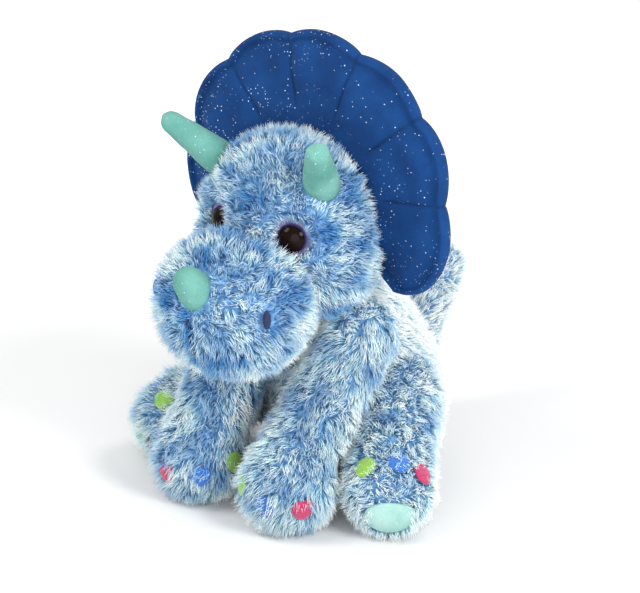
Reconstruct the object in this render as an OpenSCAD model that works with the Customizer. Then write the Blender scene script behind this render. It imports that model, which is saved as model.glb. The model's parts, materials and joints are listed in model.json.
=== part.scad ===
// Seated plush dinosaur with three horns and a scalloped neck frill.
// It faces -Y, its left side is +X, and it sits on the plane Z = 0.

/* [Cloth and gaps] */
// Thickness of the plush covers with their backing
plush_t = 2.4; // [1.6:0.2:3.2]
// Thickness of the velour on horns, frill and patches
velour_t = 1.2; // [0.8:0.1:1.6]
// Space between a cover and its stuffing
fill_gap = 0.2; // [0.1:0.1:0.4]
// Space between pieces that move past each other
swing_gap = 0.8; // [0.6:0.1:1.2]

/* [Head] */
// Radius of the head
head_r = 54; // [50:1:56]
// Height of the middle of the head
head_z = 180; // [178:1:184]
// Radius of the muzzle
muzzle_r = 42; // [38:1:43]
// Extra width of the muzzle
muzzle_extra = 10; // [4:1:14]
// Radius of a brow horn where it is sewn on
horn_base_r = 11; // [9:0.5:13]
// Radius of a brow horn at its tip
horn_tip_r = 7; // [5:0.5:9]

/* [Eyes] */
// Radius of the coloured disc round the eye
eye_ring_r = 12; // [11:0.5:12.5]
// Radius of the domed eye
eye_r = 9.5; // [7:0.5:10]
// Height of the eye's dome
eye_dome = 5; // [3:0.5:6]

/* [Frill] */
// Distance from the frill's middle to the top of each lobe
frill_r = 105; // [102:1:108]
// Thickness of the padded frill
frill_t = 10; // [8:1:12]
// Number of lobes
lobes = 7; // [5:2:9]
// Angle from one lobe to the next
lobe_step = 31; // [29:1:32]
// Angle by which the frill leans to one side
frill_roll = 6; // [0:1:8]

/* [Legs and tail] */
// Radius of a foreleg above its foot
foreleg_r = 22; // [18:1:23]
// Radius of a front foot
foot_r = 28; // [26:1:29]
// Radius of a hind foot
hind_foot_r = 26; // [25:1:27]
// Radius of the thigh
thigh_r = 29; // [27:1:30]
// Radius of the tail where it joins
tail_r = 20; // [17:1:21]
// Radius of the tail's tip
tail_tip_r = 13; // [9:1:14]
// Radius of a coloured toe spot
toe_r = 7.5; // [5:0.5:8]

/* [Torso] */
// Radius of the rump
rump_r = 56; // [52:1:58]
// Radius of the chest
chest_r = 44; // [40:1:46]

/* [Hidden] */

// Fineness of round shapes
$fn = 64;
arc_step = 15;

// Places on the dinosaur's left side, the right side being a mirror image
head_at = [0, -46, head_z];
muzzle_at = [0, -94, 140];
horn_at = [37, -56, 212];
horn_tip = [56, -84, 241];
nose_horn_at = [0, -122, 151];
nose_horn_tip = [0, -134, 164];
nose_horn_r = 12;
nose_horn_tip_r = 10;
eye_at = [27.5, -71.5, 181];
eye_dir = [0.36, -0.93, 0.08];
nostril_dir = [0.86, -0.49, 0.13];
frill_at = [0, -17, 190.5];
shoulder = [42, -24, 108];
forefoot = [36, -88, 26];
ankle = [37, -80, 44];
hip = [48, 8, 54];
hind_foot = [88, -54, 25];
hind_ankle = [80, -37, 35];
rump_at = [0, 24, 52];
chest_at = [0, -10, 112];
tail_at = [0, 76, 52];
tail_tip = [0, 131, 101];

// Turns that the seams allow, forward and up being positive
foreleg_back = -3;
foreleg_up = 14;
hind_down = -4;
hind_up = 14;
tail_side = 20;

// Neck band between the head and the torso
band_gap = 0.6;
neck_dir = chest_at - head_at;
band_outer = 26;
band_inner = 17;
cradle_r = head_r + band_gap + plush_t + band_gap;

// Roundness of the face, and how far in front of the head's middle it lies
face_r = 80;
face_front = 36;

// Eye hardware
shank_r = 2.4;
shank_len = 18;
ring_t = 1.5;
washer_r = 9;
washer_t = 1.5;
washer_drop = plush_t + 1;

// Sunk seat behind each eye, with a slanting wall
seat_r = 13;
seat_reach = 22;
seat_corner = 0.41;

// Frill outline
lobe_r = 42;
lobe_out = frill_r - lobe_r;
frill_end = 122;
batting_inset = 4;

// Small patches lie this far off the cloth they are sewn to
patch_gap = 0.1;
sole_dir = [0.6, -0.76, -0.25];
sole_r = 15;

// Gathering thread on the muzzle, as angles round the muzzle's middle
seam_r = 0.7;
seam_from = -94;
seam_arc = 79;
stitch_r = 1.1;
stitch_len = 12;

// Pellet bag low in the rump
bag_at = [0, 26, 30];
bag_r = 21;
bag_top = 42;
bag_t = 0.8;
bag_gap = 0.3;

// Room under the chin, and how much thinner the hind leg is than its foot
muzzle_room = 11;
hind_taper = 2;

// Length of the cones that keep the limbs' swing clear, and how far they start inside the root
room_len = 60;
cone_inset = 0.4;

// Longer than the whole toy
far = 800;

// Directions in which the toes' spots face from the middle of each foot
// with the right forefoot turned inward by an angle
right_twist = -50;
fore_toes = [[-0.62, -0.78, 0.12], [0.16, -0.985, -0.06], [0.83, -0.55, -0.08]];
hind_toes = [[-0.2, -0.62, 0.76], [0.42, -0.2, 0.88], [0.78, 0.2, 0.59]];

mint = "MediumAquamarine";
plush_blue = "CornflowerBlue";
royal = "RoyalBlue";
toe_colours = ["YellowGreen", "SteelBlue", "DeepPink"];

// Half outline of two balls, r1 at the origin and r2 at height d, with their common cone
function pod_edge(r1, r2, d) = let (
    tangent = asin((r1 - r2) / d),
    low = [for (a = [-90 : arc_step : tangent - arc_step / 2]) [r1 * cos(a), r1 * sin(a)]],
    high = [for (a = [90 : -arc_step : tangent + arc_step / 2]) [r2 * cos(a), d + r2 * sin(a)]]
) concat(
    low,
    [[r1 * cos(tangent), r1 * sin(tangent)], [r2 * cos(tangent), d + r2 * sin(tangent)]],
    [for (i = [len(high) - 1 : -1 : 0]) high[i]]
);

// Stand at p with +Z pointing along dir
module facing(p, dir) {
    translate(p)
        rotate([0, acos(dir.z / norm(dir)), atan2(dir.y, dir.x)])
            children();
}

// Two balls and the cone that touches both
module pod(p, q, rp, rq) {
    facing(p, q - p)
        rotate_extrude()
            polygon(pod_edge(rp, rq, norm(q - p)));
}

module side(s) {
    mirror([s < 0 ? 1 : 0, 0, 0]) children();
}

module above(z) {
    translate([-far / 2, -far / 2, z]) cube(far);
}

module below(z) {
    above(z - far);
}

// A cap of a thin ball-shaped layer, for cloth patches
module patch(centre, dir, r, layer_r, t) {
    intersection() {
        translate(centre) difference() {
            sphere(layer_r + t);
            sphere(layer_r);
        }
        facing(centre, dir) cylinder(h = far, r = r);
    }
}

module head_ball(extra) {
    translate(head_at) sphere(head_r + extra);
}

// The head is a ball with a flatter face
module head_shape(extra) {
    intersection() {
        head_ball(extra);
        translate(head_at + [0, face_r - face_front, 0]) sphere(face_r + extra);
    }
}

// The leg's parts, inset from their outer faces
module foreleg_form(inset) {
    difference() {
        union() {
            pod(shoulder, ankle, foreleg_r - inset, foreleg_r - inset);
            translate(forefoot) sphere(foot_r - inset);
        }
        below(inset);
    }
}

module hind_leg_form(inset) {
    difference() {
        union() {
            pod(hip, hind_ankle, thigh_r - inset, hind_foot_r - hind_taper - inset);
            translate(hind_foot) sphere(hind_foot_r - inset);
        }
        below(inset);
    }
}

module tail_form(inset) {
    pod(tail_at, tail_tip, tail_r - inset, tail_tip_r - inset);
}

// Room that a limb sweeps beside the torso: its root ball, and a cone round its swing
module limb_room(root, dir, r, half_swing) {
    translate(root) sphere(r);
    facing(root, dir)
        cylinder(h = room_len, r1 = r - cone_inset, r2 = r + room_len * tan(half_swing));
}

// A direction in the YZ plane, turned up by an angle as a leg swings
function swung(v, turn) = [v.x, v.y * cos(turn) + v.z * sin(turn), v.z * cos(turn) - v.y * sin(turn)];

// A direction turned about the vertical
function turned(v, turn) = [v.x * cos(turn) - v.y * sin(turn), v.x * sin(turn) + v.y * cos(turn), v.z];

module torso_form(inset) {
    difference() {
        intersection() {
            pod(rump_at, chest_at, rump_r - inset, chest_r - inset);
            above(inset);
        }
        translate(head_at) sphere(cradle_r + inset);
        translate(muzzle_at) sphere(muzzle_r + muzzle_room + inset);
        for (s = [-1, 1]) side(s) {
            limb_room(
                shoulder, swung(ankle - shoulder, (foreleg_up + foreleg_back) / 2),
                foreleg_r + swing_gap + inset, (foreleg_up - foreleg_back) / 2
            );
            limb_room(
                hip, swung(hind_ankle - hip, (hind_up + hind_down) / 2),
                thigh_r + swing_gap + inset, (hind_up - hind_down) / 2
            );
        }
        limb_room(tail_at, tail_tip - tail_at, tail_r + swing_gap + inset, tail_side);
    }
}

module bag_form(inset) {
    intersection() {
        translate(bag_at) sphere(bag_r - inset);
        below(bag_top - inset);
    }
}

module torso_cover() {
    color(plush_blue) difference() {
        torso_form(0);
        torso_form(plush_t);
    }
}

module torso_stuffing() {
    color("White") difference() {
        torso_form(plush_t + fill_gap);
        bag_form(-bag_gap);
    }
}

module bean_bag() {
    color("Gainsboro") difference() {
        bag_form(0);
        bag_form(bag_t);
    }
}

module bean_bag_pellets() {
    color("WhiteSmoke") bag_form(bag_t + fill_gap);
}

// A ring of cloth round the neck, shaped like the head so that the head turns inside it
module neck_band() {
    color(plush_blue) difference() {
        intersection() {
            head_ball(band_gap + plush_t);
            facing(head_at, neck_dir) cylinder(h = far, r = band_outer);
        }
        head_ball(band_gap);
        facing(head_at, neck_dir) cylinder(h = far, r = band_inner);
    }
}

// The head with a sunk seat for each eye
module head_form(inset) {
    difference() {
        head_shape(-inset);
        for (s = [-1, 1]) side(s) facing(eye_at, eye_dir)
            translate([0, 0, -inset])
                cylinder(h = seat_reach, r1 = seat_r + inset * seat_corner, r2 = seat_r + seat_reach);
    }
}

module head_cover() {
    color(plush_blue) difference() {
        head_form(0);
        head_form(plush_t);
        for (s = [-1, 1]) side(s) facing(eye_at, eye_dir)
            cylinder(h = 3 * plush_t, r = shank_r + fill_gap / 4, center = true);
    }
}

module head_stuffing() {
    color("White") difference() {
        head_form(plush_t + fill_gap);
        for (s = [-1, 1]) side(s) facing(eye_at, eye_dir) {
            translate([0, 0, -shank_len - fill_gap])
                cylinder(h = shank_len, r = shank_r + fill_gap);
            translate([0, 0, -washer_drop - washer_t - fill_gap])
                cylinder(h = washer_drop, r = washer_r + fill_gap);
        }
    }
}

module muzzle_pod(extra) {
    half = [muzzle_extra / 2, 0, 0];
    pod(muzzle_at - half, muzzle_at + half, muzzle_r + extra, muzzle_r + extra);
}

module muzzle_form(inset) {
    difference() {
        muzzle_pod(-inset);
        head_shape(patch_gap + inset);
    }
}

module muzzle_cover() {
    color("LightSteelBlue") difference() {
        muzzle_form(0);
        muzzle_form(plush_t);
    }
}

module muzzle_stuffing() {
    color("White") muzzle_form(plush_t + fill_gap);
}

// Gathering thread down the middle of the muzzle's front
module muzzle_seam() {
    color("MidnightBlue")
        translate(muzzle_at) rotate([0, 90, 0])
            rotate([0, 0, seam_from])
                rotate_extrude(angle = seam_arc)
                    translate([muzzle_r + patch_gap + seam_r, 0]) circle(seam_r);
}

module nostril_stitch(s) {
    color("MidnightBlue") side(s)
        facing(muzzle_at + [muzzle_extra / 2, 0, 0], nostril_dir)
            translate([0, 0, muzzle_r + patch_gap + stitch_r])
                rotate([0, 90, 0]) cylinder(h = stitch_len, r = stitch_r, center = true);
}

module nostril_stitch_left() { nostril_stitch(1); }
module nostril_stitch_right() { nostril_stitch(-1); }

// Domed safety eye with its shank
module eye(s) {
    ball_r = (eye_r * eye_r + eye_dome * eye_dome) / (2 * eye_dome);
    base = patch_gap + ring_t + patch_gap;
    color([0.12, 0.07, 0.05]) side(s) facing(eye_at, eye_dir) {
        intersection() {
            translate([0, 0, base + eye_dome - ball_r]) sphere(ball_r);
            translate([0, 0, base]) cylinder(h = eye_dome + 1, r = eye_r + 1);
        }
        translate([0, 0, -shank_len])
            cylinder(h = base + eye_dome / 2 + shank_len, r = shank_r);
    }
}

module eye_ring(s) {
    color("MediumPurple") side(s) facing(eye_at, eye_dir)
        translate([0, 0, patch_gap]) difference() {
            cylinder(h = ring_t, r = eye_ring_r);
            translate([0, 0, -1]) cylinder(h = ring_t + 2, r = shank_r + fill_gap / 4);
        }
}

module eye_washer(s) {
    color("White") side(s) facing(eye_at, eye_dir)
        translate([0, 0, -washer_drop - washer_t]) difference() {
            cylinder(h = washer_t, r = washer_r);
            translate([0, 0, -1]) cylinder(h = washer_t + 2, r = shank_r + fill_gap / 4);
        }
}

module eye_left() { eye(1); }
module eye_right() { eye(-1); }
module eye_ring_left() { eye_ring(1); }
module eye_ring_right() { eye_ring(-1); }
module eye_washer_left() { eye_washer(1); }
module eye_washer_right() { eye_washer(-1); }

module brow_horn_form(inset) {
    difference() {
        pod(horn_at, horn_tip, horn_base_r - inset, horn_tip_r - inset);
        head_shape(patch_gap + inset);
    }
}

module brow_horn(s) {
    color(mint) side(s) difference() {
        brow_horn_form(0);
        brow_horn_form(velour_t);
    }
}

module brow_horn_stuffing(s) {
    color("White") side(s) brow_horn_form(velour_t + fill_gap);
}

module brow_horn_left() { brow_horn(1); }
module brow_horn_right() { brow_horn(-1); }
module brow_horn_stuffing_left() { brow_horn_stuffing(1); }
module brow_horn_stuffing_right() { brow_horn_stuffing(-1); }

module nose_horn_form(inset) {
    difference() {
        pod(nose_horn_at, nose_horn_tip, nose_horn_r - inset, nose_horn_tip_r - inset);
        muzzle_pod(patch_gap + inset);
    }
}

module nose_horn() {
    color(mint) difference() {
        nose_horn_form(0);
        nose_horn_form(velour_t);
    }
}

module nose_horn_stuffing() {
    color("White") nose_horn_form(velour_t + fill_gap);
}

// Outline of the frill, a fan with round lobes
module frill_outline(inset) {
    corner = far * [sin(frill_end), cos(frill_end)];
    difference() {
        union() {
            circle(lobe_out);
            for (k = [0 : lobes - 1])
                rotate((k - (lobes - 1) / 2) * lobe_step)
                    translate([0, lobe_out]) circle(lobe_r - inset);
        }
        translate([0, inset])
            polygon([[0, 0], corner, [0, -far], [-corner.x, corner.y]]);
    }
}

// One layer of the frill, y back from its middle
module frill_layer(y, t, inset) {
    difference() {
        translate(frill_at + [0, y, 0])
            rotate([90, frill_roll, 0])
                linear_extrude(t, center = true) frill_outline(inset);
        head_ball(swing_gap + inset);
    }
}

module frill_front() {
    color(royal) frill_layer((velour_t - frill_t) / 2, velour_t, 0);
}

module frill_back() {
    color(royal) frill_layer((frill_t - velour_t) / 2, velour_t, 0);
}

module frill_batting() {
    color("White") frill_layer(0, frill_t - 2 * velour_t - 2 * fill_gap, batting_inset);
}

module foreleg_cover(s) {
    color(plush_blue) side(s) difference() {
        foreleg_form(0);
        foreleg_form(plush_t);
    }
}

module foreleg_stuffing(s) {
    color("White") side(s) foreleg_form(plush_t + fill_gap);
}

module foreleg_toe(s, i) {
    color(toe_colours[i]) side(s)
        patch(forefoot, turned(fore_toes[i], s < 0 ? right_twist : 0), toe_r, foot_r + patch_gap, velour_t);
}

module hind_leg_cover(s) {
    color(plush_blue) side(s) difference() {
        hind_leg_form(0);
        hind_leg_form(plush_t);
    }
}

module hind_leg_stuffing(s) {
    color("White") side(s) hind_leg_form(plush_t + fill_gap);
}

module hind_toe(s, i) {
    color(toe_colours[i]) side(s)
        patch(hind_foot, hind_toes[i], toe_r, hind_foot_r + patch_gap, velour_t);
}

module sole_pad(s) {
    color(mint) side(s)
        patch(hind_foot, sole_dir, sole_r, hind_foot_r + patch_gap, velour_t);
}

module tail_cover() {
    color(plush_blue) difference() {
        tail_form(0);
        tail_form(plush_t);
    }
}

module tail_stuffing() {
    color("White") tail_form(plush_t + fill_gap);
}

module foreleg_cover_left() { foreleg_cover(1); }
module foreleg_cover_right() { foreleg_cover(-1); }
module foreleg_stuffing_left() { foreleg_stuffing(1); }
module foreleg_stuffing_right() { foreleg_stuffing(-1); }
module foreleg_inner_toe_left() { foreleg_toe(1, 0); }
module foreleg_inner_toe_right() { foreleg_toe(-1, 0); }
module foreleg_middle_toe_left() { foreleg_toe(1, 1); }
module foreleg_middle_toe_right() { foreleg_toe(-1, 1); }
module foreleg_outer_toe_left() { foreleg_toe(1, 2); }
module foreleg_outer_toe_right() { foreleg_toe(-1, 2); }
module hind_leg_cover_left() { hind_leg_cover(1); }
module hind_leg_cover_right() { hind_leg_cover(-1); }
module hind_leg_stuffing_left() { hind_leg_stuffing(1); }
module hind_leg_stuffing_right() { hind_leg_stuffing(-1); }
module sole_pad_left() { sole_pad(1); }
module sole_pad_right() { sole_pad(-1); }
module hind_inner_toe_left() { hind_toe(1, 0); }
module hind_inner_toe_right() { hind_toe(-1, 0); }
module hind_middle_toe_left() { hind_toe(1, 1); }
module hind_middle_toe_right() { hind_toe(-1, 1); }
module hind_outer_toe_left() { hind_toe(1, 2); }
module hind_outer_toe_right() { hind_toe(-1, 2); }

torso_cover();
torso_stuffing();
bean_bag();
bean_bag_pellets();
neck_band();
head_cover();
head_stuffing();
muzzle_cover();
muzzle_stuffing();
muzzle_seam();
nostril_stitch_left();
nostril_stitch_right();
eye_left();
eye_right();
eye_ring_left();
eye_ring_right();
eye_washer_left();
eye_washer_right();
brow_horn_left();
brow_horn_right();
brow_horn_stuffing_left();
brow_horn_stuffing_right();
nose_horn();
nose_horn_stuffing();
frill_front();
frill_back();
frill_batting();
foreleg_cover_left();
foreleg_cover_right();
foreleg_stuffing_left();
foreleg_stuffing_right();
foreleg_inner_toe_left();
foreleg_inner_toe_right();
foreleg_middle_toe_left();
foreleg_middle_toe_right();
foreleg_outer_toe_left();
foreleg_outer_toe_right();
hind_leg_cover_left();
hind_leg_cover_right();
hind_leg_stuffing_left();
hind_leg_stuffing_right();
sole_pad_left();
sole_pad_right();
hind_inner_toe_left();
hind_inner_toe_right();
hind_middle_toe_left();
hind_middle_toe_right();
hind_outer_toe_left();
hind_outer_toe_right();
tail_cover();
tail_stuffing();
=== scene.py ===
import json
import math

import bmesh
import bpy
import numpy as np
from mathutils import Matrix, Vector, noise
from mathutils.kdtree import KDTree


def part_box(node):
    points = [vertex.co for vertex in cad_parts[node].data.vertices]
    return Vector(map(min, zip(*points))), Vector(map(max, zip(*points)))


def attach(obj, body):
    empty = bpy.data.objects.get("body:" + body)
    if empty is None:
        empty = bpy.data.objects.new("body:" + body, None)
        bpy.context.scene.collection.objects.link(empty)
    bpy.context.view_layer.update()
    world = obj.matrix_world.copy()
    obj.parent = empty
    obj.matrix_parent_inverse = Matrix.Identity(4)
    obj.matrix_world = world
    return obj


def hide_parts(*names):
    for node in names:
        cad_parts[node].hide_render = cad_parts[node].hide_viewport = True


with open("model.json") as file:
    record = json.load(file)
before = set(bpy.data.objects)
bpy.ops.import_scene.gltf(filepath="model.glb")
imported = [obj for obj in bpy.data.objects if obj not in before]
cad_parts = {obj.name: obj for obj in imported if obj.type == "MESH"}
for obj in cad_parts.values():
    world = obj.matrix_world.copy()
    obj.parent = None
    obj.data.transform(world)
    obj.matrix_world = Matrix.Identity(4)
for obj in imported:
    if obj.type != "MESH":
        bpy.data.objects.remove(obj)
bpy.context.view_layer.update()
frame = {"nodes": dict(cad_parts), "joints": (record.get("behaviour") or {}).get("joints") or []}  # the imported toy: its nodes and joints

joints = {j["name"]: Vector(j["pos_m"]) for j in frame["joints"]}


def mirrored(point, side):
    return Vector((point[0] * side, point[1], point[2]))


def middle(node):
    low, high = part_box(node)
    return (low + high) / 2


# camera, lights and floor
view = {
    "azimuth": 38.0,
    "elevation": 20.6,
    "distance": 1.2,
    "target": (0.0, -0.010, 0.119),
    "lens": 105.0,
}


def setCamera():
    az = math.radians(view["azimuth"])
    el = math.radians(view["elevation"])
    back = Vector((math.sin(az) * math.cos(el), -math.cos(az) * math.cos(el), math.sin(el)))
    data = bpy.data.cameras.new("toyCamera")
    data.lens = view["lens"]
    camera = bpy.data.objects.new("toyCamera", data)
    bpy.context.scene.collection.objects.link(camera)
    camera.location = Vector(view["target"]) + back * view["distance"]
    camera.rotation_euler = back.to_track_quat("Z", "Y").to_euler()
    bpy.context.scene.camera = camera


studio = {
    "key": ((-0.75, -1.0, 1.25), 0.8, 14.0),  # place, size and power of each lamp
    "side": ((1.4, -0.3, 0.9), 0.6, 18.0),
    "front": ((0.8, -1.1, 0.35), 1.2, 9.0),
    "rim": ((0.3, 1.2, 1.2), 1.0, 8.0),
    "aim": (0, 0, 0.13),
    "sky": 0.62,
    "floorSize": 4,
    "floorWhite": 0.80,
    "glowFrom": 0.3,  # how far from the toy the floor starts to glow
    "mostGlow": 0.4,
}


def addLamp(name, spot):
    place, size, power = spot
    data = bpy.data.lights.new(name, "AREA")
    data.shape = "DISK"
    data.size = size
    data.energy = power
    lamp = bpy.data.objects.new(name, data)
    bpy.context.scene.collection.objects.link(lamp)
    lamp.location = place
    aim = Vector(studio["aim"]) - lamp.location
    lamp.rotation_euler = aim.to_track_quat("-Z", "Y").to_euler()


def setStudio():
    for name in ("key", "side", "front", "rim"):
        addLamp(name, studio[name])
    world = bpy.data.worlds.new("studioSky")
    world.use_nodes = True
    sky = world.node_tree.nodes["Background"]
    sky.inputs["Color"].default_value = (1, 1, 1, 1)
    sky.inputs["Strength"].default_value = studio["sky"]
    bpy.context.scene.world = world
    bpy.context.scene.view_settings.view_transform = "Standard"
    bm = bmesh.new()
    bmesh.ops.create_grid(bm, x_segments=1, y_segments=1, size=studio["floorSize"])
    floor = newPiece("studioFloor", bm)
    floor.data.materials.append(floorMaterial())


def floorMaterial():
    # a white floor that stays bright far from the lamps
    material, tree, shader = newMaterial("floorWhite")
    shader.inputs["Base Color"].default_value = (*[studio["floorWhite"]] * 3, 1)
    shader.inputs["Roughness"].default_value = 0.9
    shader.inputs["Emission Color"].default_value = (1, 1, 1, 1)
    far = addMath(tree, "SUBTRACT", fromPoint(tree, (0, 0, 0)), studio["glowFrom"])
    glow = addMath(tree, "MINIMUM", addMath(tree, "MAXIMUM", far, 0.0), studio["mostGlow"])
    tree.links.new(glow, shader.inputs["Emission Strength"])
    return material


# small tools
def newPiece(name, bm):
    data = bpy.data.meshes.new(name)
    bm.to_mesh(data)
    bm.free()
    piece = bpy.data.objects.new(name, data)
    bpy.context.scene.collection.objects.link(piece)
    return piece


def smoothShade(piece):
    piece.data.polygons.foreach_set("use_smooth", [True] * len(piece.data.polygons))


def bakeModifiers(piece):
    graph = bpy.context.evaluated_depsgraph_get()
    finished = bpy.data.meshes.new_from_object(piece.evaluated_get(graph))
    piece.modifiers.clear()
    piece.data = finished


def turnTo(direction):
    return Vector(direction).to_track_quat("Z", "Y").to_matrix().to_4x4()


def placed(point, direction):
    return Matrix.Translation(point) @ turnTo(direction)


# materials
def newMaterial(name):
    material = bpy.data.materials.new(name)
    material.use_nodes = True
    return material, material.node_tree, material.node_tree.nodes["Principled BSDF"]


def addRamp(tree, value, stops):
    ramp = tree.nodes.new("ShaderNodeValToRGB")
    elements = ramp.color_ramp.elements
    elements[0].position, elements[1].position = stops[0][0], stops[-1][0]
    elements[0].color, elements[1].color = (*stops[0][1], 1), (*stops[-1][1], 1)
    for position, colour in stops[1:-1]:
        elements.new(position).color = (*colour, 1)
    tree.links.new(value, ramp.inputs["Fac"])
    return ramp.outputs["Color"]


def addMix(tree, factor, first, second):
    mix = tree.nodes.new("ShaderNodeMix")
    mix.data_type = "RGBA"
    for socket, given in ((mix.inputs[0], factor), (mix.inputs[6], first), (mix.inputs[7], second)):
        if isinstance(given, (int, float, tuple)):
            socket.default_value = given if not isinstance(given, tuple) else (*given, 1)
        else:
            tree.links.new(given, socket)
    return mix.outputs[2]


def addNoise(tree, scale, detail=3.0, coords=None):
    texture = tree.nodes.new("ShaderNodeTexNoise")
    texture.inputs["Scale"].default_value = scale
    texture.inputs["Detail"].default_value = detail
    if coords is None:
        coords = tree.nodes.new("ShaderNodeTexCoord").outputs["Object"]
    tree.links.new(coords, texture.inputs["Vector"])
    return texture.outputs["Fac"]


def addBump(tree, shader, height, strength, distance):
    bump = tree.nodes.new("ShaderNodeBump")
    bump.inputs["Strength"].default_value = strength
    bump.inputs["Distance"].default_value = distance
    tree.links.new(height, bump.inputs["Height"])
    tree.links.new(bump.outputs["Normal"], shader.inputs["Normal"])


pileColours = {
    "deepRoot": (0.006, 0.06, 0.28),
    "deepMiddle": (0.016, 0.20, 0.56),
    "deepTip": (0.12, 0.46, 0.78),
    "paleRoot": (0.05, 0.28, 0.55),
    "paleMiddle": (0.38, 0.72, 0.86),
    "paleTip": (0.92, 0.98, 0.95),
    "whiteRoot": (0.30, 0.60, 0.78),
    "whiteMiddle": (0.80, 0.93, 0.96),
    "whiteTip": (0.98, 0.99, 0.98),
}


def pileMaterial(name, deep, pale, white):
    # across the strand's own map: along it from root to tip, and up it from deep to white
    material, tree, shader = newMaterial(name)
    uv = tree.nodes.new("ShaderNodeUVMap")
    uv.uv_map = "OFBake"
    split = tree.nodes.new("ShaderNodeSeparateXYZ")
    tree.links.new(uv.outputs["UV"], split.inputs["Vector"])
    along, shade = split.outputs["X"], split.outputs["Y"]
    deepRamp = addRamp(tree, along, list(zip((0.0, 0.5, 1.0), deep)))
    paleRamp = addRamp(tree, along, list(zip((0.0, 0.35, 0.8), pale)))
    whiteRamp = addRamp(tree, along, list(zip((0.0, 0.35, 0.8), white)))
    toPale = addMath(tree, "DIVIDE", shade, pile["paleAt"])
    toWhite = addMath(tree, "SUBTRACT", shade, pile["paleAt"])
    toWhite = addMath(tree, "DIVIDE", toWhite, 1 - pile["paleAt"])
    colour = addMix(tree, toWhite, addMix(tree, toPale, deepRamp, paleRamp), whiteRamp)
    tree.links.new(colour, shader.inputs["Base Color"])
    shader.inputs["Roughness"].default_value = 0.7
    shader.inputs["Specular IOR Level"].default_value = 0.2
    shader.inputs["Sheen Weight"].default_value = 0.08
    return material


def backingMaterial():
    # the knitted ground under the pile
    material, tree, shader = newMaterial("knittedBacking")
    tone = addNoise(tree, 160)
    colour = addRamp(tree, tone, [(0.3, (0.03, 0.12, 0.33)), (0.7, (0.2, 0.42, 0.68))])
    tree.links.new(colour, shader.inputs["Base Color"])
    shader.inputs["Roughness"].default_value = 0.95
    return material


velours = {
    "royalVelour": {
        "dark": (0.001, 0.024, 0.105), "light": (0.004, 0.050, 0.19), "speck": (0.75, 0.88, 1.0),
        "cells": 500.0, "dot": 0.18, "fewest": 0.16, "most": 1.0,
    },
    "mintVelour": {
        "dark": (0.075, 0.24, 0.205), "light": (0.165, 0.39, 0.34), "speck": (0.75, 0.88, 0.85),
        "cells": 520.0, "dot": 0.17, "fewest": 0.25, "most": 0.6,
    },
    "paleMintVelour": {
        "dark": (0.20, 0.40, 0.36), "light": (0.40, 0.60, 0.56), "speck": (0.75, 0.88, 0.85),
        "cells": 520.0, "dot": 0.17, "fewest": 0.25, "most": 0.6,
    },
}
nap = {
    "broad": 38,
    "fine": 1500,
    "fineShare": 0.35,
    "darkAt": 0.45,
    "lightAt": 0.9,
    # colour of the painted shade in the seams' creases, as a share of the dark cloth
    "creasePaintedShade": 0.3,
    "crowds": 16,  # scale of the places where dots crowd together
    "crowdFrom": 0.42,
    "crowdTo": 0.66,
    "glint": 1.5,
    "rough": 0.9,
    "foilShine": 0.5,
    "sheen": 0.05,
    "bump": 0.0004,
}


def addMath(tree, kind, first, second):
    node = tree.nodes.new("ShaderNodeMath")
    node.operation = kind
    for socket, given in zip(node.inputs, (first, second)):
        if isinstance(given, (int, float)):
            socket.default_value = given
        else:
            tree.links.new(given, socket)
    return node.outputs[0]


def velourMaterial(name):
    # short nap with streaks, painted shade in the seams' creases, and printed foil specks scattered
    # over it, whose random brightness is a painted glint
    look = velours[name]
    material, tree, shader = newMaterial(name)
    coords = tree.nodes.new("ShaderNodeTexCoord").outputs["Object"]
    broad = addNoise(tree, nap["broad"], 4, coords)
    fine = addNoise(tree, nap["fine"], 2, coords)
    blend = addMath(tree, "ADD", broad, addMath(tree, "MULTIPLY", fine, nap["fineShare"]))
    cloth = addRamp(tree, blend, [(nap["darkAt"], look["dark"]), (nap["lightAt"], look["light"])])
    # painted shade along the seams, read from the crease attribute
    crease = tree.nodes.new("ShaderNodeAttribute")
    crease.attribute_name = "crease"
    creaseShadeColour = tuple(c * nap["creasePaintedShade"] for c in look["dark"])
    cloth = addMix(tree, crease.outputs["Fac"], cloth, creaseShadeColour)
    cells = tree.nodes.new("ShaderNodeTexVoronoi")
    cells.inputs["Scale"].default_value = look["cells"]
    tree.links.new(coords, cells.inputs["Vector"])
    pick = tree.nodes.new("ShaderNodeSeparateColor")
    tree.links.new(cells.outputs["Color"], pick.inputs["Color"])
    crowd = tree.nodes.new("ShaderNodeMapRange")
    tree.links.new(addNoise(tree, nap["crowds"], 1, coords), crowd.inputs["Value"])
    crowd.inputs["From Min"].default_value = nap["crowdFrom"]
    crowd.inputs["From Max"].default_value = nap["crowdTo"]
    crowd.inputs["To Min"].default_value = look["fewest"]
    crowd.inputs["To Max"].default_value = look["most"]
    near = addMath(tree, "LESS_THAN", cells.outputs["Distance"], look["dot"])
    chosen = addMath(tree, "LESS_THAN", pick.outputs["Red"], crowd.outputs[0])
    foil = addMath(tree, "MULTIPLY", near, chosen)
    # the foil specks are print; their random brightness mixed into the base colour is painted glint
    glint = addMath(tree, "MULTIPLY", foil, addMath(tree, "POWER", pick.outputs["Green"], nap["glint"]))
    tree.links.new(addMix(tree, glint, cloth, look["speck"]), shader.inputs["Base Color"])
    shine = addMath(tree, "MULTIPLY", foil, nap["foilShine"])
    tree.links.new(addMath(tree, "SUBTRACT", nap["rough"], shine), shader.inputs["Roughness"])
    shader.inputs["Sheen Weight"].default_value = nap["sheen"]
    shader.inputs["Sheen Roughness"].default_value = 0.35
    shader.inputs["Specular IOR Level"].default_value = 0.2
    addBump(tree, shader, fine, 0.3, nap["bump"])
    return material


# soft bodies
skinStyle = {
    "step": 0.2,  # from ball to ball along a chain, as a share of the smaller radius
    "voxel": 0.0028,
    "relax": 6,
    "lump": 0.0008,
    "lumps": 45,
    "lowest": 0.0006,
}


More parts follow.
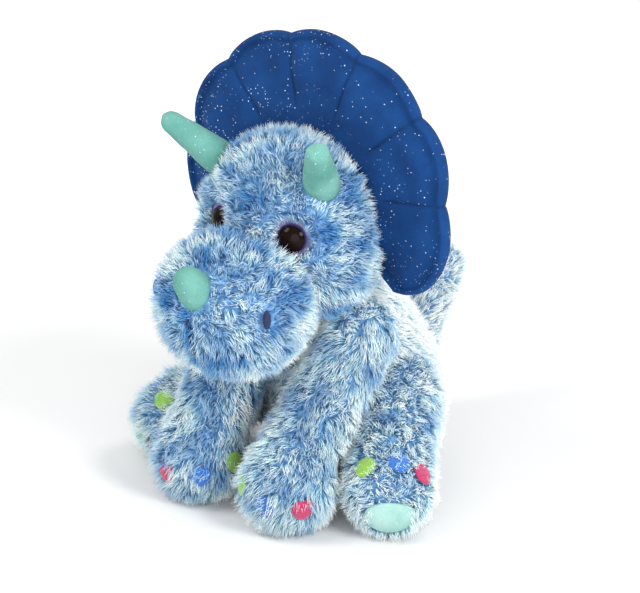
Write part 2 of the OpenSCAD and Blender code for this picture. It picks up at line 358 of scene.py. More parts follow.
def softBody(name, chains, shape=None):
    # balls along each chain, fused into one skin and relaxed
    bm = bmesh.new()
    for chain in chains:
        for (a, ra), (b, rb) in zip(chain, chain[1:] or chain):
            span = (Vector(b) - Vector(a)).length
            steps = max(1, int(span / (skinStyle["step"] * min(ra, rb))))
            for i in range(steps + 1):
                t = i / steps
                place = Matrix.Translation(Vector(a).lerp(Vector(b), t))
                size = Matrix.Scale(ra + (rb - ra) * t, 4)
                bmesh.ops.create_icosphere(bm, subdivisions=3, radius=1, matrix=place @ size)
    piece = newPiece(name, bm)
    fuse = piece.modifiers.new("fuse", "REMESH")
    fuse.mode = "VOXEL"
    fuse.voxel_size = skinStyle["voxel"]
    relax = piece.modifiers.new("relax", "SMOOTH")
    relax.factor = 0.5
    relax.iterations = skinStyle["relax"]
    bakeModifiers(piece)
    for v in piece.data.vertices:
        v.co += v.normal * skinStyle["lump"] * noise.noise(v.co * skinStyle["lumps"])
        if shape:
            v.co = shape(v.co.copy())
        v.co.z = max(v.co.z, skinStyle["lowest"])
    smoothShade(piece)
    return piece


# pile
pile = {
    "strandWidth": 0.00027,
    "thinnest": 0.8,
    "widthSpread": 0.5,
    "tipShare": 0.72,  # width half-way up, as a share of the root's
    "shortest": 0.72,
    "lengthSpread": 0.45,
    "sunk": 0.0008,
    "floorGap": 0.0004,
    "probe": 0.002,  # a strand is left out if this far along it is inside another part
    "tuftReach": 1.05,  # a tuft's tip, in strand lengths
    "tuftPull": 0.9,
    "paleAt": 0.62,  # where up the strand's own map the pale colours are
    "smallPatches": 0.4,  # share and relative scale of the smaller patches
    "smallScale": 2.6,
    "tuftShade": 0.12,
    "strandShade": 0.10,
    "trimmed": 0.5,  # length beside an eye, a horn or a nostril, as a share
    "trimReach": 0.009,
}


def noiseField(points, frequency, seed):
    shift = Vector((seed * 7.13, seed * 3.71, seed * 1.93))
    return np.array([noise.noise_vector(Vector(p) * frequency + shift) for p in points])


def unit(v):
    return v / np.maximum(np.linalg.norm(v, axis=1, keepdims=True), 1e-9)


def scatterRoots(skin, count, rng):
    data = skin.data
    data.calc_loop_triangles()
    tris = np.zeros(len(data.loop_triangles) * 3, np.int32)
    data.loop_triangles.foreach_get("vertices", tris)
    tris = tris.reshape(-1, 3)
    co = np.zeros(len(data.vertices) * 3)
    data.vertices.foreach_get("co", co)
    co = co.reshape(-1, 3)
    normals = np.zeros(len(data.vertices) * 3)
    data.vertices.foreach_get("normal", normals)
    normals = normals.reshape(-1, 3)
    a, b, c = co[tris[:, 0]], co[tris[:, 1]], co[tris[:, 2]]
    area = np.linalg.norm(np.cross(b - a, c - a), axis=1) / 2
    chosen = rng.choice(len(tris), count, p=area / area.sum())
    u, v = rng.random(count), rng.random(count)
    over = u + v > 1
    u[over], v[over] = 1 - u[over], 1 - v[over]
    weights = np.stack([1 - u - v, u, v], 1)
    roots = (co[tris[chosen]] * weights[:, :, None]).sum(1)
    return roots, unit((normals[tris[chosen]] * weights[:, :, None]).sum(1))


def skinArea(skin):
    return sum(p.area for p in skin.data.polygons)


def strandMesh(name, roots, first, second, length, width, shade):
    # each strand is a closed three-sided sliver with one bend in it
    count = len(roots)
    side = unit(np.cross(first, np.array([0.31, 0.52, 0.79])))
    across = np.cross(side, first)
    turns = np.radians([90, 210, 330])
    ring = [side * math.cos(t) + across * math.sin(t) for t in turns]
    base = roots - first * pile["sunk"]
    knee = roots + first * (length * 0.5)[:, None]
    tip = knee + second * (length * 0.5)[:, None]
    points = [base + r * width[:, None] for r in ring]
    points += [knee + r * (width * pile["tipShare"])[:, None] for r in ring]
    points.append(tip)
    co = np.stack(points, 1)
    co[:, :, 2] = np.maximum(co[:, :, 2], pile["floorGap"])
    faces = [(0, 2, 1)]
    for i in range(3):
        j = (i + 1) % 3
        faces += [(i, j, 3 + j), (i, 3 + j, 3 + i), (3 + i, 3 + j, 6)]
    faces = np.array(faces)
    index = (faces[None] + 7 * np.arange(count)[:, None, None]).reshape(-1)
    data = bpy.data.meshes.new(name)
    data.vertices.add(count * 7)
    data.vertices.foreach_set("co", co.reshape(-1))
    data.loops.add(len(index))
    data.loops.foreach_set("vertex_index", index)
    data.polygons.add(len(index) // 3)
    data.polygons.foreach_set("loop_start", np.arange(0, len(index), 3))
    data.update(calc_edges=True)
    data.polygons.foreach_set("use_smooth", np.ones(len(index) // 3, bool))
    along = np.array([0.02, 0.02, 0.02, 0.5, 0.5, 0.5, 0.98])
    spread = np.array([-1, 0, 1, -1, 0, 1, 0]) * 0.003
    uv = np.zeros((count, 7, 2))
    uv[:, :, 0] = along
    uv[:, :, 1] = np.clip(shade * pile["paleAt"], 0.01, 0.99)[:, None] + spread
    layer = data.uv_layers.new(name="OFBake")
    layer.data.foreach_set("uv", uv.reshape(-1, 2)[index].reshape(-1))
    piece = bpy.data.objects.new(name, data)
    bpy.context.scene.collection.objects.link(piece)
    return piece


def nearestTuft(roots, seeds):
    tree = KDTree(len(seeds))
    for i, p in enumerate(seeds):
        tree.insert(p, i)
    tree.balance()
    return np.array([tree.find(p)[1] for p in roots])


def patchesAt(roots, size):
    fine = pile["smallScale"]
    broad = np.array([noise.noise(Vector(p) / size) for p in roots])
    small = np.array([noise.noise(Vector(p) * fine / size) for p in roots])
    return broad + pile["smallPatches"] * small


def growPile(name, skin, style, material, keepOff=(), inside=(), shadeAt=None, combAt=None):
    rng = np.random.default_rng(style["seed"])
    count = int(skinArea(skin) * 1e6 * style["density"])
    roots, normals = scatterRoots(skin, count, rng)
    keep = roots[:, 2] > style["lowest"]
    for centre, radius in keepOff:
        keep &= np.linalg.norm(roots - np.array(centre), axis=1) > radius
    probe = roots + normals * pile["probe"]
    for centre, radius in inside:
        keep &= np.linalg.norm(probe - np.array(centre), axis=1) > radius
    roots, normals = roots[keep], normals[keep]
    n = len(roots)
    comb = np.zeros((n, 3)) if combAt is None else combAt(roots, normals)
    swirl = noiseField(roots, 1 / style["swirlSize"], style["seed"])
    flow = normals + comb * style["comb"] + swirl * style["swirl"]
    # strands lean together in tufts, and each tuft closes towards its own tip
    seeds = rng.choice(n, max(1, n // style["tuftStrands"]), replace=False)
    owner = nearestTuft(roots, roots[seeds])
    lean = unit(unit(flow[seeds]) + rng.normal(size=(len(seeds), 3)) * style["tuftLean"])
    tuftTip = roots[seeds] + lean * style["length"] * pile["tuftReach"]
    loose = rng.normal(size=(n, 3)) * style["loose"]
    first = unit(unit(flow) + lean[owner] * pile["tuftPull"] + loose)
    length = style["length"] * (pile["shortest"] + pile["lengthSpread"] * rng.random(n))
    for centre, radius in keepOff if style["trim"] else ():
        beyond = np.linalg.norm(roots - np.array(centre), axis=1) - radius
        grown = np.clip(beyond / pile["trimReach"], 0, 1)
        length *= pile["trimmed"] + (1 - pile["trimmed"]) * grown
    knee = roots + first * (length * 0.5)[:, None]
    pull = unit(tuftTip[owner] - knee)
    droop = np.array([0, 0, -1]) * style["droop"]
    gathered = first * (1 - style["gather"]) + pull * style["gather"]
    second = unit(gathered + comb * style["bend"] + droop + loose)
    width = pile["strandWidth"] * (pile["thinnest"] + pile["widthSpread"] * rng.random(n))
    tone = pile["tuftShade"] * rng.normal(size=len(seeds))[owner]
    tone += pile["strandShade"] * rng.normal(size=n)
    shade = style["shade"] + style["patches"] * patchesAt(roots, style["patchSize"]) + tone
    if shadeAt is not None:
        shade += shadeAt(roots, normals)
    piece = strandMesh(name, roots, first, second, length, width, shade)
    piece.data.materials.append(material)
    print(name, n, "strands")
    return piece


# the toy
headAt = joints["head_nod"]
headR = 0.054
faceR, faceFront = 0.080, 0.036  # roundness of the face, and how far it is in front
cheekAt, cheekR = headAt + Vector((0.022, 0.004, -0.018)), 0.036
muzzleLow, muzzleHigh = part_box("muzzle_cover")
muzzleR = (muzzleHigh.z - muzzleLow.z) / 2
muzzleAt = Vector((0, muzzleLow.y + muzzleR, (muzzleLow.z + muzzleHigh.z) / 2))
foreR, hindR = 0.028, 0.026
shoulder = joints["foreleg_left_swing"]
hip = joints["hind_leg_left_swing"]
tailRoot = joints["tail_wag"]
tailTipR = 0.013
tailTip = Vector((0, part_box("tail_cover")[1].y - tailTipR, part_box("tail_cover")[1].z - tailTipR))
neckR = headR + 0.0036


def footAt(cover, radius, sunk):
    low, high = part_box(cover)
    return Vector((high.x - radius, low.y + radius, low.z + radius - sunk))


foreFoot = footAt("foreleg_cover_left", foreR, 0.002)
hindFoot = footAt("hind_leg_cover_left", hindR, 0.001)


def pushOut(p, centre, radius):
    off = p - centre
    return centre + off.normalized() * radius if off.length < radius else p


def pullIn(p, centre, radius):
    off = p - centre
    return centre + off.normalized() * radius if off.length > radius else p


frosted = pileMaterial(
    "frostedPile",
    (pileColours["deepRoot"], pileColours["deepMiddle"], pileColours["deepTip"]),
    (pileColours["paleRoot"], pileColours["paleMiddle"], pileColours["paleTip"]),
    (pileColours["whiteRoot"], pileColours["whiteMiddle"], pileColours["whiteTip"]),
)
backing = backingMaterial()


def furryPart(name, body, chains, style, replaces, shape=None, **more):
    skin = softBody(name + "Skin", chains, shape)
    skin.data.materials.append(backing)
    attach(skin, body)
    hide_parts(*replaces)
    fur = growPile(name + "Pile", skin, style, frosted, **more)
    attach(fur, body)


basicStyle = {
    "density": 0.75,  # strands to the square millimetre
    "length": 0.0088,
    "lowest": 0.0015,  # no strands grow from below this height
    "comb": 0.35,  # lean of the whole strand and of its outer half along the comb
    "bend": 0.25,
    "droop": 0.12,
    "swirl": 0.5,
    "swirlSize": 0.022,
    "tuftStrands": 24,
    "tuftLean": 0.42,
    "gather": 0.5,  # how far a tuft's strands close towards its tip
    "loose": 0.19,  # how far each strand strays by itself
    "patchSize": 0.016,
    "patches": 0.95,
    "shade": 0.53,  # 0 is deep, 1 is pale, and more goes towards white
    "trim": False,  # whether the pile is cut short beside a bald place
}


def awayFrom(point):
    def comb(roots, normals):
        return unit(roots - np.array(point))
    return comb


def towards(lean):
    def comb(roots, normals):
        return np.tile(np.array(lean) / np.linalg.norm(lean), (len(roots), 1))
    return comb


seat = {
    "ringHalf": 0.00085,  # half of the eye disc's thickness
    "flat": 0.0125,
    "slope": 0.9,
    "reach": 0.020,
    "near": 0.030,
    "sunk": 0.0004,
    "faceSlack": 0.0005,
}


def eyeSeat(name):
    # the middle of the eye's seat, and the way the eye looks
    ring, washer = middle("eye_ring_" + name), middle("eye_washer_" + name)
    look = (ring - washer).normalized()
    return ring - look * seat["ringHalf"], look


eyeSeats = {name: eyeSeat(name) for name in ("left", "right")}


def headShape(p):
    # flatten the face and sink a seat for each eye
    p = pullIn(p, headAt + Vector((0, faceR - faceFront, 0)), faceR + seat["faceSlack"])
    for at, look in eyeSeats.values():
        off = p - at
        depth = off.dot(look)
        around = (off - look * depth).length
        limit = max(around - seat["flat"], 0) * seat["slope"] - seat["sunk"]
        if depth > limit and around < seat["reach"] and off.length < seat["near"]:
            p = p - look * (depth - limit)
    return p


head = {
    "under": 0.001,  # how far the skin lies below the head's full radius
    "eyeBare": 0.0118,  # radius without pile, and how far its middle is in front
    "eyeBareOut": 0.002,
    "hornBare": 0.0112,
    "hornBareOff": (0, -0.002, -0.002),
    "muzzleOverlap": 0.003,
    "combUp": 0.010,
    "pile": dict(basicStyle, seed=11, trim=True),
}


def makeHead():
    chains = [[(headAt, headR - head["under"])]]
    chains += [[(mirrored(cheekAt, s), cheekR)] for s in (1, -1)]
    bald = [(at + look * head["eyeBareOut"], head["eyeBare"]) for at, look in eyeSeats.values()]
    off = Vector(head["hornBareOff"])
    bald += [(hornRoot(s) + off, head["hornBare"]) for s in (1, -1)]
    furryPart(
        "head", "head", chains, head["pile"], ["head_cover"], shape=headShape,
        keepOff=bald, inside=[(muzzleAt, muzzleR - head["muzzleOverlap"])],
        combAt=awayFrom(muzzleAt + Vector((0, 0, head["combUp"]))),
    )


muzzle = {
    "under": 0.001,
    "halfWidth": 0.005,
    "frontUp": 0.006,
    "partWidth": 0.0025,  # the parting runs down the front from the horn
    "partDepth": 0.030,
    "partTop": 0.004,
    "rimDepth": 0.020,
    "nostrilReach": 0.008,
    "rimShade": 0.3,
    # how much painted shade darkens the parting
    "partingPaintedShade": 0.5,
    "nostrilShade": 0.7,
    "hornBare": 0.0145,
    "nostrilBare": 0.0024,
    "nostrilStep": 0.004,
    "headOverlap": 0.008,
    "pile": dict(basicStyle, seed=23, shade=0.59, trim=True),
}


def makeMuzzle():
    size = muzzle
    half = Vector((size["halfWidth"], 0, 0))
    skinR = muzzleR - size["under"]
    chains = [[(muzzleAt - half, skinR), (muzzleAt + half, skinR)]]
    front = muzzleAt + Vector((0, -muzzleR, size["frontUp"]))

    def tone(roots, normals):
        # painted shade deep along the parting down the front; deep round the nostrils, and pale round
        # the rim
        off = roots - np.array(front)
        # painted shade where the pile parts down the front
        part = np.exp(-((off[:, 0] / size["partWidth"]) ** 2))
        part *= (off[:, 1] < size["partDepth"]) * (off[:, 2] < size["partTop"])
        rim = np.clip((roots[:, 1] - muzzleAt.y) / size["rimDepth"], 0, 1)
        dark = np.zeros(len(roots))
        for s in (1, -1):
            near = np.linalg.norm(roots - np.array(nostrilAt(s)), axis=1)
            dark += np.exp(-((near / size["nostrilReach"]) ** 2))
        return size["rimShade"] * rim - size["partingPaintedShade"] * part - size["nostrilShade"] * dark

    step = size["nostrilStep"]
    bald = [(middle("nose_horn"), size["hornBare"])]
    bald += [
        (nostrilAt(s) + Vector((0, 0, up)), size["nostrilBare"])
        for s in (1, -1) for up in (-step, 0, step)
    ]
    furryPart(
        "muzzle", "head", chains, size["pile"], ["muzzle_cover"], keepOff=bald,
        inside=[(headAt, headR - size["headOverlap"])], shadeAt=tone, combAt=awayFrom(front),
    )


def nostrilAt(s):
    return middle("nostril_stitch_left" if s > 0 else "nostril_stitch_right")


torso = {
    "rump": ((0, 0.024, 0.054), 0.055),  # middle and radius
    "chest": ((0, -0.010, 0.112), 0.0435),
    "muzzleRoom": 0.010,
    "headRoom": 0.001,
    "paleFrom": -0.010,  # paler towards the back, from this depth
    "paleOver": 0.080,
    "deepFront": -0.3,
    "paleBack": 0.35,
    "comb": (0, 0.3, -1),
    "pile": dict(basicStyle, seed=31, shade=1.16, patches=0.5, length=0.0092),
}


def makeTorso():
    chains = [[(Vector(at), radius) for at, radius in (torso["rump"], torso["chest"])]]

    def shape(p):
        p = pushOut(p, headAt, neckR)
        return pushOut(p, muzzleAt, muzzleR + torso["muzzleRoom"])

    def tone(roots, normals):
        depth = (roots[:, 1] - torso["paleFrom"]) / torso["paleOver"]
        return np.clip(depth, torso["deepFront"], torso["paleBack"])

    hidden = [(headAt, headR + torso["headRoom"])]
    for s in (1, -1):
        hidden += [(mirrored(shoulder, s), foreleg["rootR"]), (mirrored(hip, s), hindLeg["rootR"])]
    furryPart(
        "torso", "torso", chains, torso["pile"], ["torso_cover"], shape=shape,
        inside=hidden, shadeAt=tone, combAt=towards(torso["comb"]),
    )


foreleg = {
    "rootR": 0.0215,
    "ankleR": 0.0215,
    "ankle": 0.85,  # share of the way from the root to the foot, and how far it is raised
    "ankleUp": 0.006,
    "under": 0.0005,
    "paleOver": 0.030,
    "paleUp": 0.35,
    "paleBack": 0.25,
    "deepFront": -0.4,
    "pile": dict(
        basicStyle, length=0.0098, comb=0.7, bend=0.4, shade=0.92, patches=0.8
    ),
}


def legChains(leg, root, foot, footR, s):
    ankle = mirrored(root.lerp(foot, leg["ankle"]) + Vector((0, 0, leg["ankleUp"])), s)
    upper = [(mirrored(root, s), leg["rootR"]), (ankle, leg["ankleR"])]
    return [upper, [(ankle, leg["ankleR"]), (mirrored(foot, s), footR - leg["under"])]]


def makeForeleg(name, s):
    style = dict(foreleg["pile"], seed=41 + s)
    chains = legChains(foreleg, shoulder, foreFoot, foreR, s)
    spots = [
        (middle(f"foreleg_{toe}_toe_{name}"), bare) for toe, bare in patchStyle["bare"].items()
    ]

    def tone(roots, normals):
        # paler where the leg joins the pale back
        up = np.clip((roots[:, 2] - shoulder.z) / foreleg["paleOver"], 0, 1)
        back = np.clip((roots[:, 1] - shoulder.y) / foreleg["paleOver"], foreleg["deepFront"], 1)
        return foreleg["paleUp"] * up + foreleg["paleBack"] * back

    furryPart(
        "foreleg" + name.title(), "foreleg_" + name, chains, style, ["foreleg_cover_" + name],
        keepOff=spots, shadeAt=tone, combAt=towards(mirrored(foreFoot - shoulder, s)),
    )


hindLeg = {
    "rootR": 0.0285,
    "ankleR": 0.0235,
    "ankle": 0.78,
    "ankleUp": 0.004,
    "under": 0.0005,
    "rightBare": 0.3,  # the right foot's bare places are smaller, so its pile hides the patches
    "pile": dict(basicStyle, length=0.009, comb=0.5, shade=0.98, patches=0.8),
}


def makeHindLeg(name, s):
    style = dict(hindLeg["pile"], seed=51 + s)
    chains = legChains(hindLeg, hip, hindFoot, hindR, s)
    share = 1 if s > 0 else hindLeg["rightBare"]
    spots = [
        (middle(f"hind_{toe}_toe_{name}"), bare * share) for toe, bare in patchStyle["bare"].items()
    ]
    spots.append((middle("sole_pad_" + name), patchStyle["padBare"] * share))
    furryPart(
        "hindLeg" + name.title(), "hind_leg_" + name, chains, style, ["hind_leg_cover_" + name],
        keepOff=spots, combAt=towards(mirrored(hindFoot - hip, s)),
    )


tail = {
    "rootR": 0.0195,
    "under": 0.0005,
    "pile": dict(basicStyle, seed=61, shade=1.45, patches=0.4),
}


def makeTail():
    chains = [[(tailRoot, tail["rootR"]), (tailTip, tailTipR - tail["under"])]]
    furryPart(
        "tail", "tail", chains, tail["pile"], ["tail_cover"],
        combAt=towards(tailTip - tailRoot),
    )


# horns
hornStyle = {
    "root": (0.037, -0.010, 0.032),  # from the head's middle
    "noseRoot": (0, -0.028, 0.011),  # from the muzzle's middle
    "rootR": 0.0118,
    "tipR": 0.0070,
    "noseRootR": 0.0120,
    "noseTipR": 0.0100,
    "rings": 14,
    "bulge": 0.03,
    "unevenness": 0.045,
    "lumps": 75,
    "smallLumps": 240,
    "smallShare": 0.4,
}


def hornRoot(s):
    return headAt + mirrored(hornStyle["root"], s)


def hornTip(s):
    low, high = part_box("brow_horn_left")
    r = hornStyle["tipR"]
    return mirrored((high.x - r, low.y + r, high.z - r), s)


def hornPiece(name, root, tip, rootR, tipR):
    # an outline with a round end, spun and then made slightly uneven
    bm = bmesh.new()
    span = (tip - root).length
    outline = []
    for i in range(hornStyle["rings"] + 1):
        t = i / hornStyle["rings"]
        swell = 1 + hornStyle["bulge"] * math.sin(math.pi * t)
        outline.append(((rootR + (tipR - rootR) * t) * swell, span * t))
    outline += [
        (tipR * math.cos(math.radians(a)), span + tipR * math.sin(math.radians(a)))
        for a in range(12, 85, 12)
    ]
    outline.append((0.0, span + tipR))
    verts = [bm.verts.new((0, 0, -0.001))] + [bm.verts.new((r, 0, z)) for r, z in outline]
    edges = [bm.edges.new(pair) for pair in zip(verts, verts[1:])]
    bmesh.ops.spin(
        bm, geom=verts + edges, cent=(0, 0, 0), axis=(0, 0, 1),
        angle=math.tau, steps=48, use_merge=True,
    )
    bmesh.ops.remove_doubles(bm, verts=bm.verts, dist=1e-6)
    bmesh.ops.recalc_face_normals(bm, faces=bm.faces)
    seed = Vector((root.x * 90, 0, 3))
    for v in bm.verts:
        lumps = noise.noise(v.co * hornStyle["lumps"] + seed)
        small = noise.noise(v.co * hornStyle["smallLumps"] + seed)
        v.co *= 1 + hornStyle["unevenness"] * (lumps + hornStyle["smallShare"] * small)
    bmesh.ops.transform(bm, matrix=placed(root, tip - root), verts=bm.verts)
    piece = newPiece(name, bm)
    smoothShade(piece)
    return piece


def stuffedPiece(piece, material, body, replaced):
    piece.data.materials.append(material)
    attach(piece, body)
    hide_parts(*replaced)


def makeHorns(velour):
    size = hornStyle
    for name, s in (("left", 1), ("right", -1)):
        horn = hornPiece(
            "browHorn" + name.title(), hornRoot(s), hornTip(s), size["rootR"], size["tipR"]
        )
        stuffedPiece(horn, velour, "head", ["brow_horn_" + name])
    low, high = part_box("nose_horn")
    root = muzzleAt + Vector(size["noseRoot"])
    tip = Vector((0, low.y + size["noseTipR"], high.z - size["noseTipR"]))
    nose = hornPiece("noseHorn", root, tip, size["noseRootR"], size["noseTipR"])
    stuffedPiece(nose, velour, "head", ["nose_horn"])


# frill
frill = {
    "lobes": 7,
    "lobeStep": 31.0,
    "roll": 6.0,
    "reach": 0.105,  # from the frill's middle to the top of a lobe
    "lobeRadius": 0.051,
    "end": 122.0,
    "corner": 14.0,  # degrees of rounding at each end, and how deep it goes
    "cornerDepth": 0.10,
    "inner": 0.028,
    "rim": 0.0028,  # half the width of the rolled rim
    "rimHeight": 0.0042,
    "pillow": 0.0056,
    "seamWidth": 0.0009,
    "seamDepth": 0.22,
    "valleyWidth": 4.5,  # in seam widths
    "valleyDepth": 0.16,
    "seamFrom": 0.5,  # where a seam starts, and how soon it is full, as shares of the edge's distance
    "seamFade": 0.15,
    # how dark the seams' creases are painted, as painted shade
    "seamPaintedShade": 0.35,
    "pillowEdge": 0.25,  # the pillow's height beside the rim, as a share
    "pillowOver": 0.016,
    "wrinkle": 0.16,
    "wrinkles": 50,
    "wave": 0.007,
    "waves": 15,
    "crowding": 1.5,  # rows crowd together towards the rim
    "cloth": 0.0003,
    "gap": 0.0001,
    "clear": 0.0028,  # from the head's skin, so that the frill can flex
    "across": 380,
    "outward": 60,
}


def frillEdge(angle):
    # how far the scalloped edge is from the middle, at an angle from the middle lobe
    step = math.radians(frill["lobeStep"])
    last = (frill["lobes"] - 1) // 2
    off = angle - max(-last, min(last, round(angle / step))) * step
    centre = frill["reach"] - frill["lobeRadius"]
    inside = frill["lobeRadius"] ** 2 - (centre * math.sin(off)) ** 2
    past = max(abs(angle) - math.radians(frill["end"] - frill["corner"]), 0)
    rounding = 1 - frill["cornerDepth"] * (past / math.radians(frill["corner"])) ** 2
    return (centre * math.cos(off) + math.sqrt(max(inside, 1e-8))) * rounding


def smooth(t):
    t = min(max(t, 0), 1)
    return t * t * (3 - 2 * t)


def frillThickness(angle, r, edge):
    step = math.radians(frill["lobeStep"])
    side = r * math.sin(max(math.radians(frill["end"]) - abs(angle), 0))
    border = max(min(edge - r, side), 0)
    rim = frill["rim"]
    roll = frill["rimHeight"] * math.sqrt(max(1 - ((border - rim) / rim) ** 2, 0))
    rise = smooth((border - 1.5 * rim) / frill["pillowOver"])
    pillow = frill["pillow"] * (frill["pillowEdge"] + (1 - frill["pillowEdge"]) * rise)
    flat = max(roll, pillow if border > rim * 1.6 else 0)
    seam = (abs(angle) / step + 0.5) % 1
    gap = r * math.sin(min(seam, 1 - seam) * step)
    if abs(angle) > step * (frill["lobes"] - 0.6) / 2:
        gap = 1  # no seam beyond the last lobes
    reach = smooth((r - frill["seamFrom"] * edge) / (frill["seamFade"] * edge))
    crease = math.exp(-((gap / frill["seamWidth"]) ** 2)) * reach
    valley = math.exp(-((gap / (frill["valleyWidth"] * frill["seamWidth"])) ** 2)) * reach
    sunk = frill["seamDepth"] * crease + frill["valleyDepth"] * valley
    # the second value is painted shade for the seam's crease
    return flat * (1 - sunk), crease * frill["seamPaintedShade"]


def frillPanel(name, half):
    # half is -1 for the front panel and 1 for the back one
    spread = math.radians(frill["end"])
    roll = math.radians(frill["roll"])
    lobe = frill["lobeRadius"]
    top = (frill["reach"] - lobe) * math.cos(roll) + lobe
    centre = Vector((0, middle("frill_batting").y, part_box("frill_front")[1].z - top))
    bm = bmesh.new()
    bmesh.ops.create_grid(
        bm, x_segments=frill["across"], y_segments=frill["outward"], size=0.5
    )
    crease = bm.verts.layers.float.new("crease")
    flat = list(bm.verts)
    grown = bmesh.ops.extrude_face_region(bm, geom=list(bm.faces))
    puffed = {v for v in grown["geom"] if isinstance(v, bmesh.types.BMVert)}
    for v in flat + list(puffed):
        angle = v.co.x * 2 * spread
        share = 1 - (0.5 - v.co.y) ** frill["crowding"]
        edge = frillEdge(angle)
        r = frill["inner"] + (edge - frill["inner"]) * share
        thick, dark = frillThickness(angle, r, edge)
        x, z = r * math.sin(angle + roll), r * math.cos(angle + roll)
        wrinkle = noise.noise(Vector((x, 0.02 * half, z)) * frill["wrinkles"])
        thick *= 1 + frill["wrinkle"] * wrinkle
        wave = noise.noise(Vector((x, 0.3, z)) * frill["waves"])
        # painted shade of the seam's crease, which the velour darkens by
        v[crease] = dark
        y = half * (thick + frill["cloth"]) if v in puffed else half * frill["gap"]
        v.co = centre + Vector((x, y + frill["wave"] * wave * share, z))
        v.co = pushOut(v.co, mirrored(cheekAt, 1 if x > 0 else -1), cheekR + frill["clear"])
        v.co = pushOut(v.co, headAt, headR + frill["clear"])
    bmesh.ops.recalc_face_normals(bm, faces=bm.faces)
    piece = newPiece(name, bm)
    smoothShade(piece)
    return piece


def makeFrill():
    velour = velourMaterial("royalVelour")
    for name, half, nodes in (
        ("frillFront", -1, ["frill_front", "frill_batting"]),
        ("frillBack", 1, ["frill_back"]),
    ):
        stuffedPiece(frillPanel(name, half), velour, "frill", nodes)


# patches on the feet
patchStyle = {
    "toeR": 0.0072,
    "uneven": 0.04,
    "padR": 0.0170,
    "padShare": 0.72,  # the pad's height, as a share of its width
    "lift": 0.0019,
    "puff": 0.0016,
    "bare": {"inner": 0.0042, "middle": 0.0, "outer": 0.0050},  # radius free of pile
    "padBare": 0.0115,
}


heart = {"size": 1.02, "notch": 0.30, "notchWidth": 0.42, "point": 0.16, "pointWidth": 0.40}


def heartOutline(angle):
    # a soft heart, its notch at the top
    notch = heart["notch"] * math.exp(-(((angle - math.pi / 2) / heart["notchWidth"]) ** 2))
    point = heart["point"] * math.exp(-(((angle + math.pi / 2) / heart["pointWidth"]) ** 2))
    return heart["size"] - notch + point


def roundOutline(angle):
    return 1 + patchStyle["uneven"] * math.sin(3 * angle)


def padOutline(angle):
    return 1 / math.sqrt(math.cos(angle) ** 2 + (math.sin(angle) / patchStyle["padShare"]) ** 2)


def clothPatch(name, centre, towardsNode, ballR, size, outline):
    # a domed cloth disc bent round the foot's ball
    turned = turnTo((middle(towardsNode) - centre).normalized()).to_3x3()
    bm = bmesh.new()
    profile = [(0.0, 1.0), (0.3, 0.97), (0.6, 0.85), (0.85, 0.6), (0.96, 0.3), (1.0, -0.4)]
    verts = [bm.verts.new((r, 0, z)) for r, z in profile] + [bm.verts.new((0, 0, -1.4))]
    edges = [bm.edges.new(pair) for pair in zip(verts, verts[1:])]
    bmesh.ops.spin(
        bm, geom=verts + edges, cent=(0, 0, 0), axis=(0, 0, 1),
        angle=math.tau, steps=48, use_merge=True,
    )
    bmesh.ops.remove_doubles(bm, verts=bm.verts, dist=1e-6)
    bmesh.ops.recalc_face_normals(bm, faces=bm.faces)
    for v in bm.verts:
        r = math.hypot(v.co.x, v.co.y)
        angle = math.atan2(v.co.y, v.co.x)
        reach = r * size * outline(angle)
        height = ballR + patchStyle["lift"] + v.co.z * patchStyle["puff"]
        bend = reach / (ballR + patchStyle["lift"])
        flat = Vector((math.cos(angle), math.sin(angle), 0))
        local = flat * math.sin(bend) * height + Vector((0, 0, math.cos(bend) * height))
        v.co = centre + turned @ local
        v.co.z = max(v.co.z, skinStyle["lowest"])
    piece = newPiece(name, bm)
    smoothShade(piece)
    return piece


toeFelts = {
    "inner": ("green", (0.16, 0.36, 0.04), (0.30, 0.54, 0.08)),
    "middle": ("blue", (0.015, 0.09, 0.36), (0.03, 0.18, 0.52)),
    "outer": ("pink", (0.30, 0.015, 0.07), (0.50, 0.04, 0.14)),
}


def makePatches():
    velour = velourMaterial("paleMintVelour")
    felts = {}
    for toe, (colour, dark, light) in toeFelts.items():
        felts[toe] = (colour + "_felt", feltMaterial(colour + "Felt", dark, light))
    for name, s in (("left", 1), ("right", -1)):
        for foot, body, centre, ballR in (
            ("foreleg", "foreleg_", foreFoot, foreR), ("hind", "hind_leg_", hindFoot, hindR)
        ):
            for toe, (slot, felt) in felts.items():
                node = f"{foot}_{toe}_toe_{name}"
                shape = heartOutline if toe == "outer" else roundOutline
                patch = clothPatch(
                    foot + toe.title() + "Toe" + name.title(),
                    mirrored(centre, s), node, ballR, patchStyle["toeR"], shape,
                )
                stuffedPiece(patch, felt, body + name, [node])
        pad = clothPatch(
            "solePad" + name.title(), mirrored(hindFoot, s), "sole_pad_" + name,
            hindR, patchStyle["padR"], padOutline,
        )
        stuffedPiece(pad, velour, "hind_leg_" + name, ["sole_pad_" + name])


def feltMaterial(name, dark, light):
    material, tree, shader = newMaterial(name)
    fibres = addNoise(tree, 900, 4)
    colour = addRamp(tree, fibres, [(0.3, dark), (0.7, light)])
    tree.links.new(colour, shader.inputs["Base Color"])
    shader.inputs["Roughness"].default_value = 0.95
    shader.inputs["Sheen Weight"].default_value = 0.3
    addBump(tree, shader, fibres, 0.6, 0.0005)
    return material


# eyes, stitches and the inside
eyeStyle = {
    "domeTop": 0.0067,  # from the seat
    "pupil": 0.0092,  # from the top of the dome to the pupil's rim
    "iris": 0.0104,
    "dark": (0.008, 0.003, 0.002),
    "violet": (0.035, 0.028, 0.10),
    "pearl": (0.16, 0.15, 0.28),
}


def fromPoint(tree, point):
    coords = tree.nodes.new("ShaderNodeTexCoord").outputs["Object"]
    distance = tree.nodes.new("ShaderNodeVectorMath")
    distance.operation = "DISTANCE"
    tree.links.new(coords, distance.inputs[0])
    distance.inputs[1].default_value = point
    return distance.outputs["Value"]


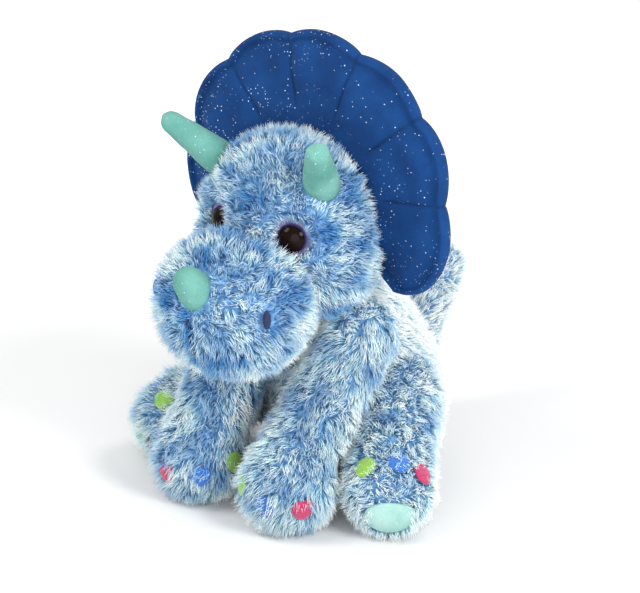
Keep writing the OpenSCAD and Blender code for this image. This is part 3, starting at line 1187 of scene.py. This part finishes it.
def eyeMaterial(name, apex):
    # a dark pupil in a violet iris, by the distance from the dome's top
    material, tree, shader = newMaterial(name)
    size = eyeStyle
    share = addMath(tree, "DIVIDE", fromPoint(tree, apex), 2 * size["iris"])
    rim = size["pupil"] / size["iris"] / 2
    stops = [(0.0, size["dark"]), (rim - 0.02, size["dark"])]
    stops += [(rim + 0.02, size["violet"]), (0.6, size["pearl"])]
    colour = addRamp(tree, share, stops)
    tree.links.new(colour, shader.inputs["Base Color"])
    shader.inputs["Roughness"].default_value = 0.09
    shader.inputs["Specular IOR Level"].default_value = 0.09
    return material


def dressNode(name, material):
    data = frame["nodes"][name].data
    data.materials.clear()
    data.materials.append(material)


def speckled(name, dark, light, scale, roughness):
    material, tree, shader = newMaterial(name)
    tone = addNoise(tree, scale)
    tree.links.new(addRamp(tree, tone, [(0.3, dark), (0.7, light)]), shader.inputs["Base Color"])
    shader.inputs["Roughness"].default_value = roughness
    return material


def makeEyes():
    pearl = speckled("pearlRing", (0.05, 0.045, 0.14), (0.18, 0.17, 0.32), 200, 0.3)
    for side in ("left", "right"):
        at, look = eyeSeats[side]
        top = at + look * eyeStyle["domeTop"]
        dressNode("eye_" + side, eyeMaterial("polishedEye" + side.title(), top))
        dressNode("eye_ring_" + side, pearl)


nostril = {"radius": 0.0024, "stretch": 2.5, "out": 0.0014}


def makeStitches():
    thread = speckled("navyThread", (0.003, 0.008, 0.04), (0.012, 0.025, 0.09), 1200, 0.8)
    dressNode("muzzle_seam", thread)
    for name, s in (("left", 1), ("right", -1)):
        at = nostrilAt(s)
        out = (at - muzzleAt).normalized()
        bm = bmesh.new()
        bmesh.ops.create_uvsphere(bm, u_segments=20, v_segments=14, radius=nostril["radius"])
        for v in bm.verts:
            v.co.z *= nostril["stretch"]
            v.co += out * nostril["out"] + at
        bar = newPiece("nostril" + name.title(), bm)
        smoothShade(bar)
        stuffedPiece(bar, thread, "head", ["nostril_stitch_" + name])


def dressInside():
    fibre = speckled("looseFibre", (0.75, 0.75, 0.74), (0.92, 0.92, 0.90), 140, 1.0)
    inside = {
        "bean_bag": speckled("bagWeave", (0.62, 0.61, 0.57), (0.80, 0.79, 0.75), 700, 0.95),
        "bean_bag_pellets": speckled("pelletFill", (0.7, 0.7, 0.66), (0.9, 0.9, 0.86), 350, 0.5),
        "eye_washer_left": speckled("washerPlastic", (0.7, 0.7, 0.7), (0.82, 0.82, 0.82), 60, 0.4),
    }
    inside["eye_washer_right"] = inside["eye_washer_left"]
    for node in frame["nodes"]:
        if "stuffing" in node:
            dressNode(node, fibre)
        elif node in inside:
            dressNode(node, inside[node])
    dressNode("neck_band", backing)


setStudio()
setCamera()
print("studio ready")
makeHorns(velourMaterial("mintVelour"))
makeFrill()
makeEyes()
makeStitches()
makePatches()
dressInside()
print("horns, frill, eyes and patches done")
makeHead()
makeMuzzle()
makeTorso()
makeTail()
for name, s in (("left", 1), ("right", -1)):
    makeForeleg(name, s)
    makeHindLeg(name, s)
print("plush parts done")
